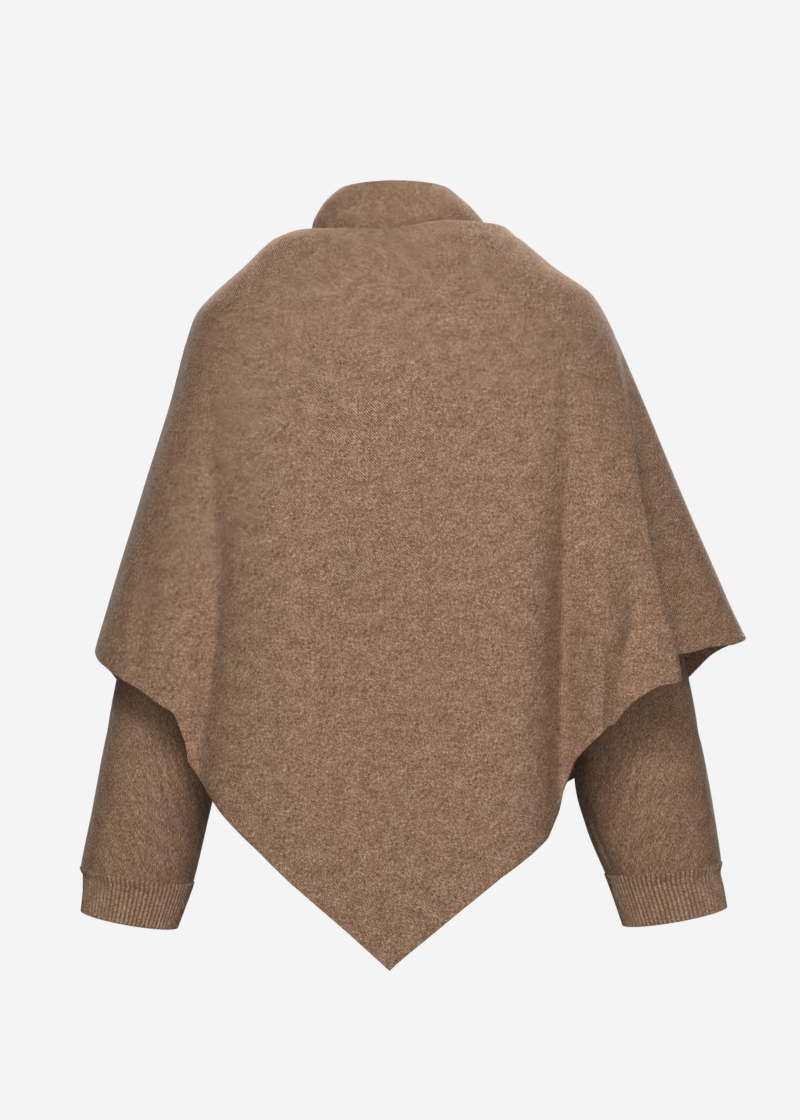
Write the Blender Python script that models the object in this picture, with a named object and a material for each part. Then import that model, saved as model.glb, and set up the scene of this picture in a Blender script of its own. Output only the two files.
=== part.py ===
"""Poncho with sleeves, filled out as if worn.

A felted fine-knit cape hangs as a diamond over a plain knit body. The body carries a funnel
collar, two long sleeves and ribbed cuffs. Metres, +Z up. The wearer faces +Y, so the back of
the garment faces -Y and its right side in a view of the back is +X. The origin is the middle
of the neck's base, where the shoulders hold the garment.

Every piece of cloth is a wall between an outer and an inner grid of points. The points come
from rings round the figure or round an arm, which are read from the tables below.
"""

import math

import bmesh
import bpy
import numpy as np

# Cloth
WALL = 0.0024
SEAM = 0.0003
HALF = WALL / 2

# Roundness of the rings: 0 is an ellipse, more is squarer. The neck's roundness changes to the
# cape's or the body's over the first rows of its table.
CAPE_SQUARE = 0.10
BODY_SQUARE = 0.08
NECK_SQUARE = 0.02
CAPE_NECK_ROWS = 3
BODY_NECK_ROWS = 4

# Ribbed cuffs
RIBS = 44
RIB_HEIGHT = 0.0010

# Armhole in the inner body: a loop round each side
ARMHOLE_MIDDLE_Z = -0.142
ARMHOLE_HALF_HEIGHT = 0.095
ARMHOLE_HALF_TURN = 38.0

# A sleeve's top edge laps the body by this much, is this many degrees wider than the armhole
# and changes to the arm's own rings over the first rows of its table
SLEEVE_LAP = 0.004
SLEEVE_LAP_TURN = 2.0
SLEEVE_LIFT = WALL + 3 * SEAM
SLEEVE_LOOP_ROWS = 2

# Steps over which a surface's slope is measured: degrees round, or rows down
RING_STEP = 0.5
CAPE_STEPS = (0.1, 0.02)
BODY_STEPS = (0.2, 0.02)
COLLAR_STEPS = (0.5, 0.02)
ARM_STEPS = (math.radians(0.5), 0.3)
LOOKUP_SAMPLES = 400

ROUGHNESS = 0.95
SHARP_DEGREES = 40.0
COLOUR = (0.251, 0.155, 0.107, 1.0)
RIB_COLOUR = (0.235, 0.144, 0.099, 1.0)


def table(names, rows):
    """Gives one array for each named column of the rows."""
    return dict(zip(names.split(), np.array(rows, dtype=float).T))


# Cape, from the neck seam down. z is the height at the back. left, right, back and front are
# how far the cloth's outer face reaches from the middle, which lies forward of the neck by
# forward. The lifts raise the ring's left, right and front above its back.
CAPE = table("z left right back front forward lift_left lift_right lift_front", [
    (0.0010, 0.0920, 0.0900, 0.0740, 0.0700, 0.000, 0.000, 0.000, -0.004),
    (0.0118, 0.1040, 0.1040, 0.0860, 0.0800, 0.000, 0.005, 0.009, -0.012),
    (0.0060, 0.1260, 0.1200, 0.0980, 0.0920, 0.000, 0.003, 0.003, -0.012),
    (-0.0220, 0.1600, 0.1580, 0.1120, 0.1050, 0.000, 0.000, 0.000, -0.006),
    (-0.0460, 0.1870, 0.1920, 0.1210, 0.1140, 0.000, 0.000, 0.000, 0.000),
    (-0.0660, 0.2040, 0.2050, 0.1270, 0.1190, 0.000, 0.000, 0.000, 0.000),
    (-0.0940, 0.2140, 0.2185, 0.1330, 0.1260, 0.000, 0.000, 0.000, 0.000),
    (-0.1500, 0.2290, 0.2430, 0.1420, 0.1350, 0.002, 0.000, 0.000, 0.000),
    (-0.2500, 0.2610, 0.2850, 0.1520, 0.1420, 0.008, 0.000, 0.000, 0.000),
    (-0.3500, 0.2920, 0.3290, 0.1560, 0.1430, 0.013, 0.000, 0.000, 0.000),
    (-0.4500, 0.3190, 0.3710, 0.1580, 0.1420, 0.018, 0.000, 0.000, 0.000),
    (-0.6000, 0.3400, 0.3900, 0.1580, 0.1380, 0.020, 0.000, 0.000, 0.000),
    (-0.7500, 0.3500, 0.4000, 0.1560, 0.1340, 0.020, 0.000, 0.000, 0.000),
])
LOWEST_LIFTED_ROW = 4

# Hem of the cape: its height at each turn round the figure, in degrees. 0 is the back, 90 the
# right side, 180 the front and 270 the left side. The point of the diamond is at -1.5.
HEM = table("turn z", [
    (-90.0, -0.395), (-78.3, -0.406), (-67.3, -0.416), (-59.7, -0.426), (-51.6, -0.437),
    (-42.5, -0.458), (-39.5, -0.485), (-38.9, -0.504), (-37.2, -0.513), (-29.3, -0.554),
    (-21.5, -0.591), (-14.9, -0.627), (-8.0, -0.666), (-1.5, -0.704), (7.7, -0.646),
    (13.0, -0.614), (19.9, -0.578), (22.1, -0.553), (23.2, -0.530), (24.9, -0.502),
    (27.4, -0.483), (30.0, -0.468), (31.5, -0.445), (33.0, -0.432), (37.0, -0.424),
    (44.0, -0.412), (57.0, -0.397), (77.0, -0.3945), (90.0, -0.388), (98.0, -0.3915),
    (106.0, -0.397), (111.0, -0.408), (115.0, -0.420), (123.0, -0.434), (140.0, -0.490),
    (160.0, -0.560), (180.0, -0.620), (200.0, -0.575), (220.0, -0.500), (240.0, -0.445),
    (256.0, -0.410), (270.0, -0.395),
])

# Soft folds that run down the cape. side is -1 for the back and 1 for the front. A fold starts
# at z_top, is full from z_full down, and its line passes x_top, x_mid and x_low at z_top,
# z_mid and z_low. A trough has a negative height.
FOLDS = table("side z_top z_full z_mid z_low x_top x_mid x_low width height", [
    (-1, -0.08, -0.30, -0.30, -0.56, 0.172, 0.158, 0.146, 0.024, -0.022),
    (-1, -0.12, -0.34, -0.30, -0.50, 0.205, 0.200, 0.198, 0.022, 0.007),
    (-1, -0.30, -0.42, -0.38, -0.46, 0.222, 0.219, 0.219, 0.009, -0.006),
    (-1, -0.12, -0.36, -0.32, -0.50, -0.172, -0.175, -0.208, 0.024, -0.014),
    (-1, -0.14, -0.40, -0.32, -0.70, -0.012, -0.010, -0.020, 0.040, -0.005),
    (-1, -0.05, -0.08, -0.10, -0.20, 0.020, 0.040, 0.090, 0.025, -0.003),
    (1, -0.08, -0.30, -0.30, -0.56, 0.165, 0.160, 0.150, 0.026, -0.014),
    (1, -0.10, -0.34, -0.30, -0.56, -0.165, -0.165, -0.160, 0.026, -0.014),
    (1, -0.12, -0.36, -0.32, -0.60, 0.010, 0.012, 0.018, 0.045, -0.007),
])

# Pleat over the right arm, where the cloth doubles back under itself. half is half the cloth
# in the pleat, swing moves it along the ring, and depth is how far its last layer lies in. It
# has faded out between its last turn and the side seam.
PLEAT = table("z turn half swing depth", [
    (-0.085, 77.5, 0.020, 0.000, 0.000),
    (-0.174, 61.3, 0.034, 0.010, 0.015),
    (-0.310, 47.2, 0.048, 0.032, 0.026),
    (-0.420, 41.2, 0.058, 0.048, 0.030),
    (-0.520, 38.0, 0.060, 0.052, 0.031),
])
PLEAT_SHARPEST = 0.37
PLEAT_TURN_SHARE = 0.27
PLEAT_EASE = 1.1
PLEAT_DEGREE = 0.0046
PLEAT_LAST_TURN = 88.0
SIDE_TURN = 90.0

# Columns of the cape's grids: the turn at each column number. At the back, place counts
# halves of the pleat's cloth from its middle, which the columns follow down the cape.
BACK_COLUMNS = table("column turn place", [
    (0, -90, 0), (21, -1.5, 0), (25, 14, 0), (33, 0, -1), (53, 0, 1), (58, 90, 0),
])
FRONT_COLUMNS = table("column turn place", [(0, 90, 0), (26, 270, 0)])
TOP_ROWS = (0.0, 0.35, 0.7, 1.0, 1.5, 2.0, 3.0, 4.0, 5.0, 6.0)
BACK_ROWS = 15
FRONT_ROWS = 9
HEM_PASSES = 12

# Collar, from its rim down to the neck seam. The middle of a ring lies aside of the neck's.
COLLAR = table("z left right back front aside lift_front", [
    (0.0626, 0.0500, 0.0500, 0.0560, 0.0500, -0.0050, -0.012),
    (0.0590, 0.0560, 0.0540, 0.0580, 0.0520, -0.0045, -0.012),
    (0.0500, 0.0680, 0.0640, 0.0630, 0.0570, -0.0035, -0.011),
    (0.0380, 0.0785, 0.0755, 0.0680, 0.0620, -0.0020, -0.009),
    (0.0240, 0.0860, 0.0840, 0.0700, 0.0655, -0.0005, -0.007),
    (0.0100, 0.0880, 0.0860, 0.0700, 0.0660, 0.0000, -0.005),
    (-0.0020, 0.0880, 0.0860, 0.0700, 0.0660, 0.0000, -0.004),
])
COLLAR_COLUMNS = 28

# Inner body, from the neck seam down to its hem
BODY = table("z left right back front lift_front", [
    (-0.0023, 0.0880, 0.0860, 0.0700, 0.0660, -0.004),
    (-0.0080, 0.0880, 0.0860, 0.0700, 0.0660, -0.004),
    (-0.0260, 0.1150, 0.1140, 0.0860, 0.0790, -0.003),
    (-0.0400, 0.1430, 0.1430, 0.0970, 0.0890, -0.002),
    (-0.0580, 0.1560, 0.1560, 0.1050, 0.0970, 0.000),
    (-0.0900, 0.1580, 0.1580, 0.1110, 0.1040, 0.000),
    (-0.1500, 0.1570, 0.1570, 0.1160, 0.1100, 0.000),
    (-0.2500, 0.1550, 0.1550, 0.1160, 0.1130, 0.000),
    (-0.3700, 0.1550, 0.1550, 0.1140, 0.1120, 0.000),
    (-0.4900, 0.1580, 0.1580, 0.1150, 0.1130, 0.000),
])
BODY_COLUMNS = 16

# Heights of the rows of the body's grids above, beside and below the armhole
BODY_NECK_HEIGHTS = (-0.0023, -0.0080, -0.0200, -0.0330)
ARMHOLE_BENDS = (0, 28, 55, 90, 125, 152, 180)
BODY_LOW_HEIGHTS = (-0.32, -0.41, -0.49)

# Arms, from the armhole down: a sleeve to row SEAM_ROW and its cuff below it. A ring runs from
# its outer point to its inner point in the view of the back, to the cloth's outer face. x is
# measured outwards from the middle of the neck.
ARM_NAMES = "out_x out_z in_x in_z forward half_deep"
ARM_RIGHT = table(ARM_NAMES, [
    (0.1610, -0.0470, 0.1580, -0.2410, 0.000, 0.0770),
    (0.1810, -0.0600, 0.1620, -0.2540, 0.001, 0.0740),
    (0.1970, -0.0900, 0.1650, -0.2680, 0.003, 0.0700),
    (0.2070, -0.1350, 0.1680, -0.2820, 0.006, 0.0660),
    (0.2230, -0.2000, 0.1710, -0.3080, 0.011, 0.0630),
    (0.2490, -0.2900, 0.1730, -0.3650, 0.018, 0.0620),
    (0.2820, -0.3900, 0.1740, -0.4400, 0.026, 0.0610),
    (0.3045, -0.4930, 0.1765, -0.5300, 0.036, 0.0610),
    (0.3175, -0.5600, 0.1885, -0.5800, 0.043, 0.0590),
    (0.3262, -0.6160, 0.2088, -0.6290, 0.050, 0.0560),
    (0.3245, -0.6265, 0.2125, -0.6385, 0.0508, 0.0530),
    (0.3280, -0.6425, 0.2195, -0.6580, 0.0516, 0.0515),
    (0.3315, -0.6625, 0.2275, -0.6815, 0.0526, 0.0510),
])
ARM_LEFT = table(ARM_NAMES, [
    (0.1610, -0.0470, 0.1580, -0.2410, 0.000, 0.0770),
    (0.1810, -0.0600, 0.1620, -0.2540, 0.001, 0.0740),
    (0.1970, -0.0900, 0.1650, -0.2680, 0.003, 0.0700),
    (0.2070, -0.1350, 0.1680, -0.2820, 0.006, 0.0660),
    (0.2220, -0.2000, 0.1710, -0.3080, 0.011, 0.0630),
    (0.2460, -0.2900, 0.1730, -0.3650, 0.018, 0.0610),
    (0.2770, -0.3900, 0.1775, -0.4400, 0.026, 0.0600),
    (0.2985, -0.4930, 0.1855, -0.5300, 0.036, 0.0590),
    (0.3115, -0.5600, 0.1960, -0.5800, 0.043, 0.0580),
    (0.3240, -0.6210, 0.2100, -0.6375, 0.050, 0.0560),
    (0.3210, -0.6300, 0.2140, -0.6490, 0.0508, 0.0530),
    (0.3212, -0.6440, 0.2200, -0.6650, 0.0516, 0.0515),
    (0.3234, -0.6665, 0.2272, -0.6840, 0.0526, 0.0510),
])
SEAM_ROW = 9
SLEEVE_COLUMNS = 20
SLEEVE_ROWS = (0, 1.3, 2.3, 3.2, 4.0, 4.7, 5.4, 6.2, 7.0, 7.8, 8.5, 9.0)
CUFF_ROWS = 3


def smooth(x, xs, ys):
    """Reads a smooth curve through the points (xs, ys) that never overshoots them."""
    step = np.diff(xs)
    slope = np.diff(ys) / step
    product = slope[:-1] * slope[1:]
    total = np.where(product > 0, slope[:-1] + slope[1:], 1.0)
    between = np.where(product > 0, 2 * product / total, 0.0)
    tangent = np.concatenate((slope[:1], between, slope[-1:]))
    i = np.clip(np.searchsorted(xs, x, side="right") - 1, 0, len(xs) - 2)
    t = np.clip((x - xs[i]) / step[i], 0, 1)
    rise = (3 - 2 * t) * t * t
    swell = t * (1 - t) * step[i] * ((1 - t) * tangent[i] - t * tangent[i + 1])
    return ys[i] * (1 - rise) + ys[i + 1] * rise + swell


def by_row(rows, name, down):
    """Reads one column of a table at row number down, which need not be whole."""
    return smooth(down, np.arange(len(rows[name]), dtype=float), rows[name])


def ramp(x, start, end):
    """Rises smoothly from 0 at start to 1 at end."""
    t = np.clip((x - start) / (end - start), 0, 1)
    return t * t * (3 - 2 * t)


def ring(turn, left, right, back, front, square):
    """A ring round the figure, at turn degrees from the back towards the right side."""
    angle = np.radians(turn)
    aside, behind = np.sin(angle), np.cos(angle)
    x = np.where(aside > 0, right, left) * aside * (1 + square * behind**2)
    y = -np.where(behind > 0, back, front) * behind * (1 + square * aside**2)
    return x, y


def unit(vectors):
    """Scales vectors to length 1."""
    return vectors / np.linalg.norm(vectors, axis=-1, keepdims=True)


def cape_ring(turn, down):
    """The cape with no folds in it."""
    size = [by_row(CAPE, name, down) - HALF for name in ("left", "right", "back", "front")]
    square = NECK_SQUARE + (CAPE_SQUARE - NECK_SQUARE) * ramp(down, 0, CAPE_NECK_ROWS)
    x, y = ring(turn, *size, square)
    aside, behind = np.sin(np.radians(turn)), np.cos(np.radians(turn))
    lift_side = np.where(aside > 0, by_row(CAPE, "lift_right", down), by_row(CAPE, "lift_left", down))
    lift_front = np.where(behind < 0, by_row(CAPE, "lift_front", down), 0.0)
    z = by_row(CAPE, "z", down) + lift_side * aside**2 + lift_front * behind**2
    return np.stack((x, y + by_row(CAPE, "forward", down), z), axis=-1)


def fold_height(x, z, side):
    """How far the soft folds raise the cape at x and z on the back or the front."""
    total = np.zeros_like(x)
    for k in range(len(FOLDS["side"])):
        fold = {name: FOLDS[name][k] for name in FOLDS}
        heights = np.array((fold["z_low"], fold["z_mid"], fold["z_top"]))
        line = smooth(z, heights, np.array((fold["x_low"], fold["x_mid"], fold["x_top"])))
        bump = np.exp(-((x - line) / fold["width"]) ** 2)
        total += np.where(side == fold["side"], fold["height"] * bump, 0) * ramp(
            -z, -fold["z_top"], -fold["z_full"])
    return total


def pleat_sizes(z):
    """The pleat's middle, in degrees, and its sizes at height z."""
    heights = PLEAT["z"][::-1]
    return [smooth(z, heights, PLEAT[name][::-1]) for name in ("turn", "half", "swing", "depth")]


def cape_point(turn, down):
    """The cape with its folds and its pleat."""
    turn, down = np.broadcast_arrays(np.asarray(turn, dtype=float), np.asarray(down, dtype=float))
    point = cape_ring(turn, down)
    z = point[..., 2]
    along = cape_ring(turn + RING_STEP, down) - cape_ring(turn - RING_STEP, down)
    along[..., 2] = 0
    degree = np.linalg.norm(along, axis=-1) / (2 * RING_STEP)
    along = unit(along)
    outward = np.stack((along[..., 1], -along[..., 0], np.zeros_like(z)), axis=-1)

    side = np.where(np.cos(np.radians(turn)) >= 0, -1, 1)
    raised = fold_height(point[..., 0], z, side)

    middle, half, swing, depth = pleat_sizes(z)
    place = (turn - middle) * degree / half
    inside = np.clip(place, -1, 1)
    shift = -swing * np.sin(math.pi * inside)
    edge = np.arccos(np.clip(half / np.maximum(math.pi * swing, 1e-6), 0, 1)) / math.pi
    share = PLEAT_TURN_SHARE + PLEAT_EASE * np.maximum(PLEAT_SHARPEST - edge, 0)
    sunk = depth / 2 * (ramp(place, -edge - share, -edge + share) + ramp(place, edge - share, edge + share))
    last = middle + half / degree
    sunk = sunk * (1 - ramp(turn, np.minimum(last, PLEAT_LAST_TURN), SIDE_TURN))
    sunk = np.where(side < 0, sunk, 0)
    shift = np.where(side < 0, shift, 0)
    return point + along * shift[..., None] + outward * (raised - sunk)[..., None]


def hem_down(turn):
    """The row number at which the cape's hem lies at each turn."""
    rows = np.linspace(LOWEST_LIFTED_ROW, len(CAPE["z"]) - 1, LOOKUP_SAMPLES)
    heights = by_row(CAPE, "z", rows)
    return np.interp(-np.interp(turn, HEM["turn"], HEM["z"]), -heights, rows)


def walls(surface, across, down, steps, outer=HALF, inner=-HALF):
    """Outer and inner grids of a surface, moved along its normals."""
    step_across, step_down = steps
    along = surface(across + step_across, down) - surface(across - step_across, down)
    downward = surface(across, down + step_down) - surface(across, down - step_down)
    normal = unit(np.cross(downward, along))
    middle = surface(across, down)
    return middle + normal * outer, middle + normal * inner


def trim(grids, where):
    """Draws an edge of the grids in by half a seam's gap."""
    for grid in grids:
        if where == "both sides":
            grid[:, 0] += unit(grid[:, 1] - grid[:, 0]) * SEAM / 2
            grid[:, -1] += unit(grid[:, -2] - grid[:, -1]) * SEAM / 2
        if where == "last row":
            grid[-1] += unit(grid[-2] - grid[-1]) * SEAM / 2
        if where == "first row":
            grid[0] += unit(grid[1] - grid[0]) * SEAM / 2
    return grids


def column_turn(columns, z):
    """The turn of every column of the cape at heights z."""
    middle, half, _, _ = pleat_sizes(z)
    stops = columns["turn"][:, None] + np.where(
        columns["place"] != 0, 1, 0)[:, None] * middle + columns["place"][:, None] * half / PLEAT_DEGREE
    number = np.arange(int(columns["column"][-1]) + 1)
    return np.array([np.interp(n, columns["column"], stops[:, n]) for n in number])


def cape_grids(columns, rows):
    """Outer and inner points of one half of the cape."""
    count = int(columns["column"][-1]) + 1
    z = np.full(count, HEM["z"].max())
    for _ in range(HEM_PASSES):
        turn = column_turn(columns, z)
        z = by_row(CAPE, "z", hem_down(turn))
    share = np.linspace(0, 1, rows + 1)[1:, None]
    below = TOP_ROWS[-1] + share * (hem_down(turn) - TOP_ROWS[-1])[None, :]
    down = np.vstack((np.repeat(np.array(TOP_ROWS)[:, None], count, axis=1), below))
    turn = np.array([column_turn(columns, by_row(CAPE, "z", row)) for row in down])
    return trim(walls(cape_point, turn, down, CAPE_STEPS), "both sides")


def collar_point(turn, down):
    """The funnel collar."""
    size = [by_row(COLLAR, name, down) for name in ("left", "right", "back", "front")]
    x, y = ring(turn, *size, NECK_SQUARE)
    behind = np.cos(np.radians(turn))
    lift = np.where(behind < 0, by_row(COLLAR, "lift_front", down), 0.0) * behind**2
    z = by_row(COLLAR, "z", down) + lift
    return np.stack((x + by_row(COLLAR, "aside", down), y, z), axis=-1)


def body_point(turn, down):
    """The inner body with its sides whole."""
    size = [by_row(BODY, name, down) for name in ("left", "right", "back", "front")]
    square = NECK_SQUARE + (BODY_SQUARE - NECK_SQUARE) * ramp(down, 0, BODY_NECK_ROWS)
    x, y = ring(turn, *size, square)
    behind = np.cos(np.radians(turn))
    lift = np.where(behind < 0, by_row(BODY, "lift_front", down), 0.0) * behind**2
    return np.stack((x, y, by_row(BODY, "z", down) + lift), axis=-1)


def body_down(z):
    """The row number of the inner body at height z."""
    rows = np.linspace(0, len(BODY["z"]) - 1, LOOKUP_SAMPLES)
    return np.interp(-z, -by_row(BODY, "z", rows), rows)


def body_grids(middle):
    """Outer and inner points of the back, round turn 0, or the front, round turn 180."""
    top = ARMHOLE_MIDDLE_Z + ARMHOLE_HALF_HEIGHT
    low = ARMHOLE_MIDDLE_Z - ARMHOLE_HALF_HEIGHT
    beside = ARMHOLE_MIDDLE_Z + ARMHOLE_HALF_HEIGHT * np.cos(np.radians(ARMHOLE_BENDS))
    heights = np.concatenate((BODY_NECK_HEIGHTS, beside, BODY_LOW_HEIGHTS))
    reach = np.sqrt(np.clip(1 - ((heights - ARMHOLE_MIDDLE_Z) / ARMHOLE_HALF_HEIGHT) ** 2, 0, 1))
    reach[(heights > top - 1e-6) | (heights < low + 1e-6)] = 0
    side = SIDE_TURN - ARMHOLE_HALF_TURN * reach
    turn = middle + side[:, None] * np.linspace(-1, 1, BODY_COLUMNS + 1)[None, :]
    down = np.repeat(body_down(heights)[:, None], turn.shape[1], axis=1)
    return trim(walls(body_point, turn, down, BODY_STEPS), "both sides")


def armhole_loop(bend, side):
    """Where a sleeve's top edge lies on the inner body. bend is 0 at the shoulder's top."""
    share = 1 + SLEEVE_LAP / ARMHOLE_HALF_HEIGHT
    height = ARMHOLE_MIDDLE_Z + ARMHOLE_HALF_HEIGHT * share * np.cos(bend)
    turn = SIDE_TURN + (ARMHOLE_HALF_TURN + SLEEVE_LAP_TURN) * np.sin(bend)
    outer, _ = walls(body_point, side * turn, body_down(height), BODY_STEPS, outer=SLEEVE_LIFT)
    return outer


def arm_ring(rows, bend, down, side):
    """A ring round an arm. bend is 0 at its outer point and 90 degrees at its front."""
    out_x, out_z, in_x, in_z, forward, half_deep = (
        by_row(rows, name, down) for name in ARM_NAMES.split())
    reach = np.cos(bend) * (1 - WALL / np.hypot(out_x - in_x, out_z - in_z))
    x = (out_x + in_x) / 2 + (out_x - in_x) / 2 * reach
    z = (out_z + in_z) / 2 + (out_z - in_z) / 2 * reach
    return np.stack((side * x, forward + (half_deep - HALF) * np.sin(bend), z), axis=-1)


def sleeve_surface(rows, side):
    """The surface of a sleeve: its top edge follows the armhole."""
    def point(bend, down):
        loop = armhole_loop(bend, side)
        blend = ramp(down, 0, SLEEVE_LOOP_ROWS)[..., None]
        return loop * (1 - blend) + arm_ring(rows, bend, down, side) * blend
    return point


def arm_grids(surface, columns, down, side, raised=0.0):
    """Outer and inner points of a tube round an arm. raised lifts every other outer column."""
    bend = np.linspace(0, 2 * math.pi, columns, endpoint=False)
    bend, down = np.meshgrid(bend, down)
    lift = np.where(np.arange(columns) % 2 == 0, raised, 0.0)[None, :, None]
    # Both sides turn the same way round, so a normal points out on one and in on the other
    middle = surface(bend, down)
    step_bend, step_down = ARM_STEPS
    low, high = np.maximum(down - step_down, 0), down + step_down
    along = surface(bend + step_bend, down) - surface(bend - step_bend, down)
    downward = surface(bend, high) - surface(bend, low)
    normal = unit(np.cross(downward, along)) * side
    return middle + normal * (HALF + lift), middle - normal * HALF


def wall(name, grids, material, closed=False):
    """Makes one closed solid between an outer and an inner grid of points."""
    outer, inner = grids
    rows, columns = outer.shape[:2]
    mesh = bmesh.new()
    skins = [[[mesh.verts.new(p) for p in row] for row in grid] for grid in (outer, inner)]
    last = columns if closed else columns - 1
    for across in range(last):
        beside = (across + 1) % columns
        for skin in skins:
            for down in range(rows - 1):
                mesh.faces.new((skin[down][across], skin[down + 1][across],
                                skin[down + 1][beside], skin[down][beside]))
        for edge in (0, rows - 1):
            mesh.faces.new([skin[edge][k] for skin, k in zip(
                (skins[0], skins[0], skins[1], skins[1]), (across, beside, beside, across))])
    for edge in () if closed else (0, columns - 1):
        for down in range(rows - 1):
            mesh.faces.new([skin[k][edge] for skin, k in zip(
                (skins[0], skins[0], skins[1], skins[1]), (down, down + 1, down + 1, down))])
    bmesh.ops.recalc_face_normals(mesh, faces=mesh.faces)
    data = bpy.data.meshes.new(name)
    mesh.to_mesh(data)
    mesh.free()
    data.shade_smooth()
    data.set_sharp_from_angle(angle=math.radians(SHARP_DEGREES))
    data.materials.append(material)
    piece = bpy.data.objects.new(name, data)
    bpy.data.collections["poncho"].objects.link(piece)
    return piece


def cloth(name, colour):
    """A matt cloth material."""
    material = bpy.data.materials.new(name)
    material.use_nodes = True
    shader = material.node_tree.nodes["Principled BSDF"]
    shader.inputs["Base Color"].default_value = colour
    shader.inputs["Roughness"].default_value = ROUGHNESS
    shader.inputs["Metallic"].default_value = 0.0
    return material


def make_cape():
    """The back and front of the cape."""
    wall("cape_back", cape_grids(BACK_COLUMNS, BACK_ROWS), cloth("cape_back_knit", COLOUR))
    wall("cape_front", cape_grids(FRONT_COLUMNS, FRONT_ROWS), cloth("cape_front_knit", COLOUR))


def make_collar():
    """The funnel collar, open at its rim."""
    turn = np.linspace(-180, 180, COLLAR_COLUMNS, endpoint=False)
    turn, down = np.meshgrid(turn, np.arange(len(COLLAR["z"]), dtype=float))
    grids = walls(collar_point, turn, down, COLLAR_STEPS)
    wall("collar", grids, cloth("collar_knit", COLOUR), closed=True)


def make_body():
    """The back and front of the inner body."""
    wall("body_back", body_grids(0), cloth("body_back_knit", COLOUR))
    wall("body_front", body_grids(180), cloth("body_front_knit", COLOUR))


def make_sleeves():
    """The sleeves and their ribbed cuffs."""
    for name, side, rows in (("left", -1, ARM_LEFT), ("right", 1, ARM_RIGHT)):
        surface = sleeve_surface(rows, side)
        grids = trim(arm_grids(surface, SLEEVE_COLUMNS, SLEEVE_ROWS, side), "last row")
        wall("sleeve_" + name, grids, cloth("sleeve_knit_" + name, COLOUR), closed=True)

        down = np.linspace(SEAM_ROW, len(rows["out_x"]) - 1, CUFF_ROWS)
        grids = trim(arm_grids(surface, 2 * RIBS, down, side, RIB_HEIGHT), "first row")
        wall("cuff_" + name, grids, cloth("cuff_rib_" + name, RIB_COLOUR), closed=True)


def main():
    for item in list(bpy.data.objects):
        bpy.data.objects.remove(item, do_unlink=True)
    collection = bpy.data.collections.new("poncho")
    bpy.context.scene.collection.children.link(collection)
    make_cape()
    make_collar()
    make_body()
    make_sleeves()


main()
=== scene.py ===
"""Looks of a felted knit poncho with sleeves, filled out as if worn.

Every piece of cloth is a thin shell of knit on the form of its CAD solid, with softer and finer
creases than the solid has. Metres, +Z up. The back of the garment faces -Y.
"""

import math

import bmesh
import bpy
import numpy as np
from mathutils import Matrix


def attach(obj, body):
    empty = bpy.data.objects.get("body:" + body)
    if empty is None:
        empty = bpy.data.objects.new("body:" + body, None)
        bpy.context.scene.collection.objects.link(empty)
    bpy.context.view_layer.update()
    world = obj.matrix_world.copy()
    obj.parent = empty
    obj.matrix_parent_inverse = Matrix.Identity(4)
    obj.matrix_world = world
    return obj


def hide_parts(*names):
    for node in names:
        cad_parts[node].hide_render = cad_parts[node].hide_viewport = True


bl_info = {
    "name": "Felted poncho with sleeves",
    "version": (1, 0, 0),
    "blender": (4, 5, 0),
    "location": "3D View > Sidebar > Poncho",
    "description": "Makes the cloth of the poncho: cape, collar, inner body, sleeves and cuffs",
    "category": "Object",
}

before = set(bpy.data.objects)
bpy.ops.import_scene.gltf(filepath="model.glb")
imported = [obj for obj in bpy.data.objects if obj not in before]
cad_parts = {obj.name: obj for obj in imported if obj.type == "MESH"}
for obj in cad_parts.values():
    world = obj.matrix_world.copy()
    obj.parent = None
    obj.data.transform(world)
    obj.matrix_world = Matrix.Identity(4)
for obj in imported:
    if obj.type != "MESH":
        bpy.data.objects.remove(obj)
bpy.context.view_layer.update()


def linear(hex_colour):
    """Turns an sRGB hex value into linear red, green and blue."""
    shares = [int(hex_colour[k:k + 2], 16) / 255 for k in (0, 2, 4)]
    return [c / 12.92 if c <= 0.04045 else ((c + 0.055) / 1.055) ** 2.4 for c in shares]


def table(names, rows):
    """Gives one array for each named column of the rows."""
    return dict(zip(names.split(), np.array(rows, dtype=float).T))


def each_row(columns):
    """Gives the rows of a table one by one, each with its columns' names."""
    return [dict(zip(columns, values)) for values in zip(*columns.values())]


# A ring's direction is taken over RING_STEP degrees to either side, and a row is looked up from
# its height among LOOKUP_SAMPLES. SMALLEST keeps a divisor above 0.
RING_STEP = 0.5
LOOKUP_SAMPLES = 400
SMALLEST = 1e-6

# Roundness of the rings round the figure: 0 is an ellipse, more is squarer. The neck's changes
# to the cape's or the body's over the first rows of its table.
CAPE_SQUARE = 0.10
BODY_SQUARE = 0.08
NECK_SQUARE = 0.02
CAPE_NECK_ROWS = 3
BODY_NECK_ROWS = 4

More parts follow.
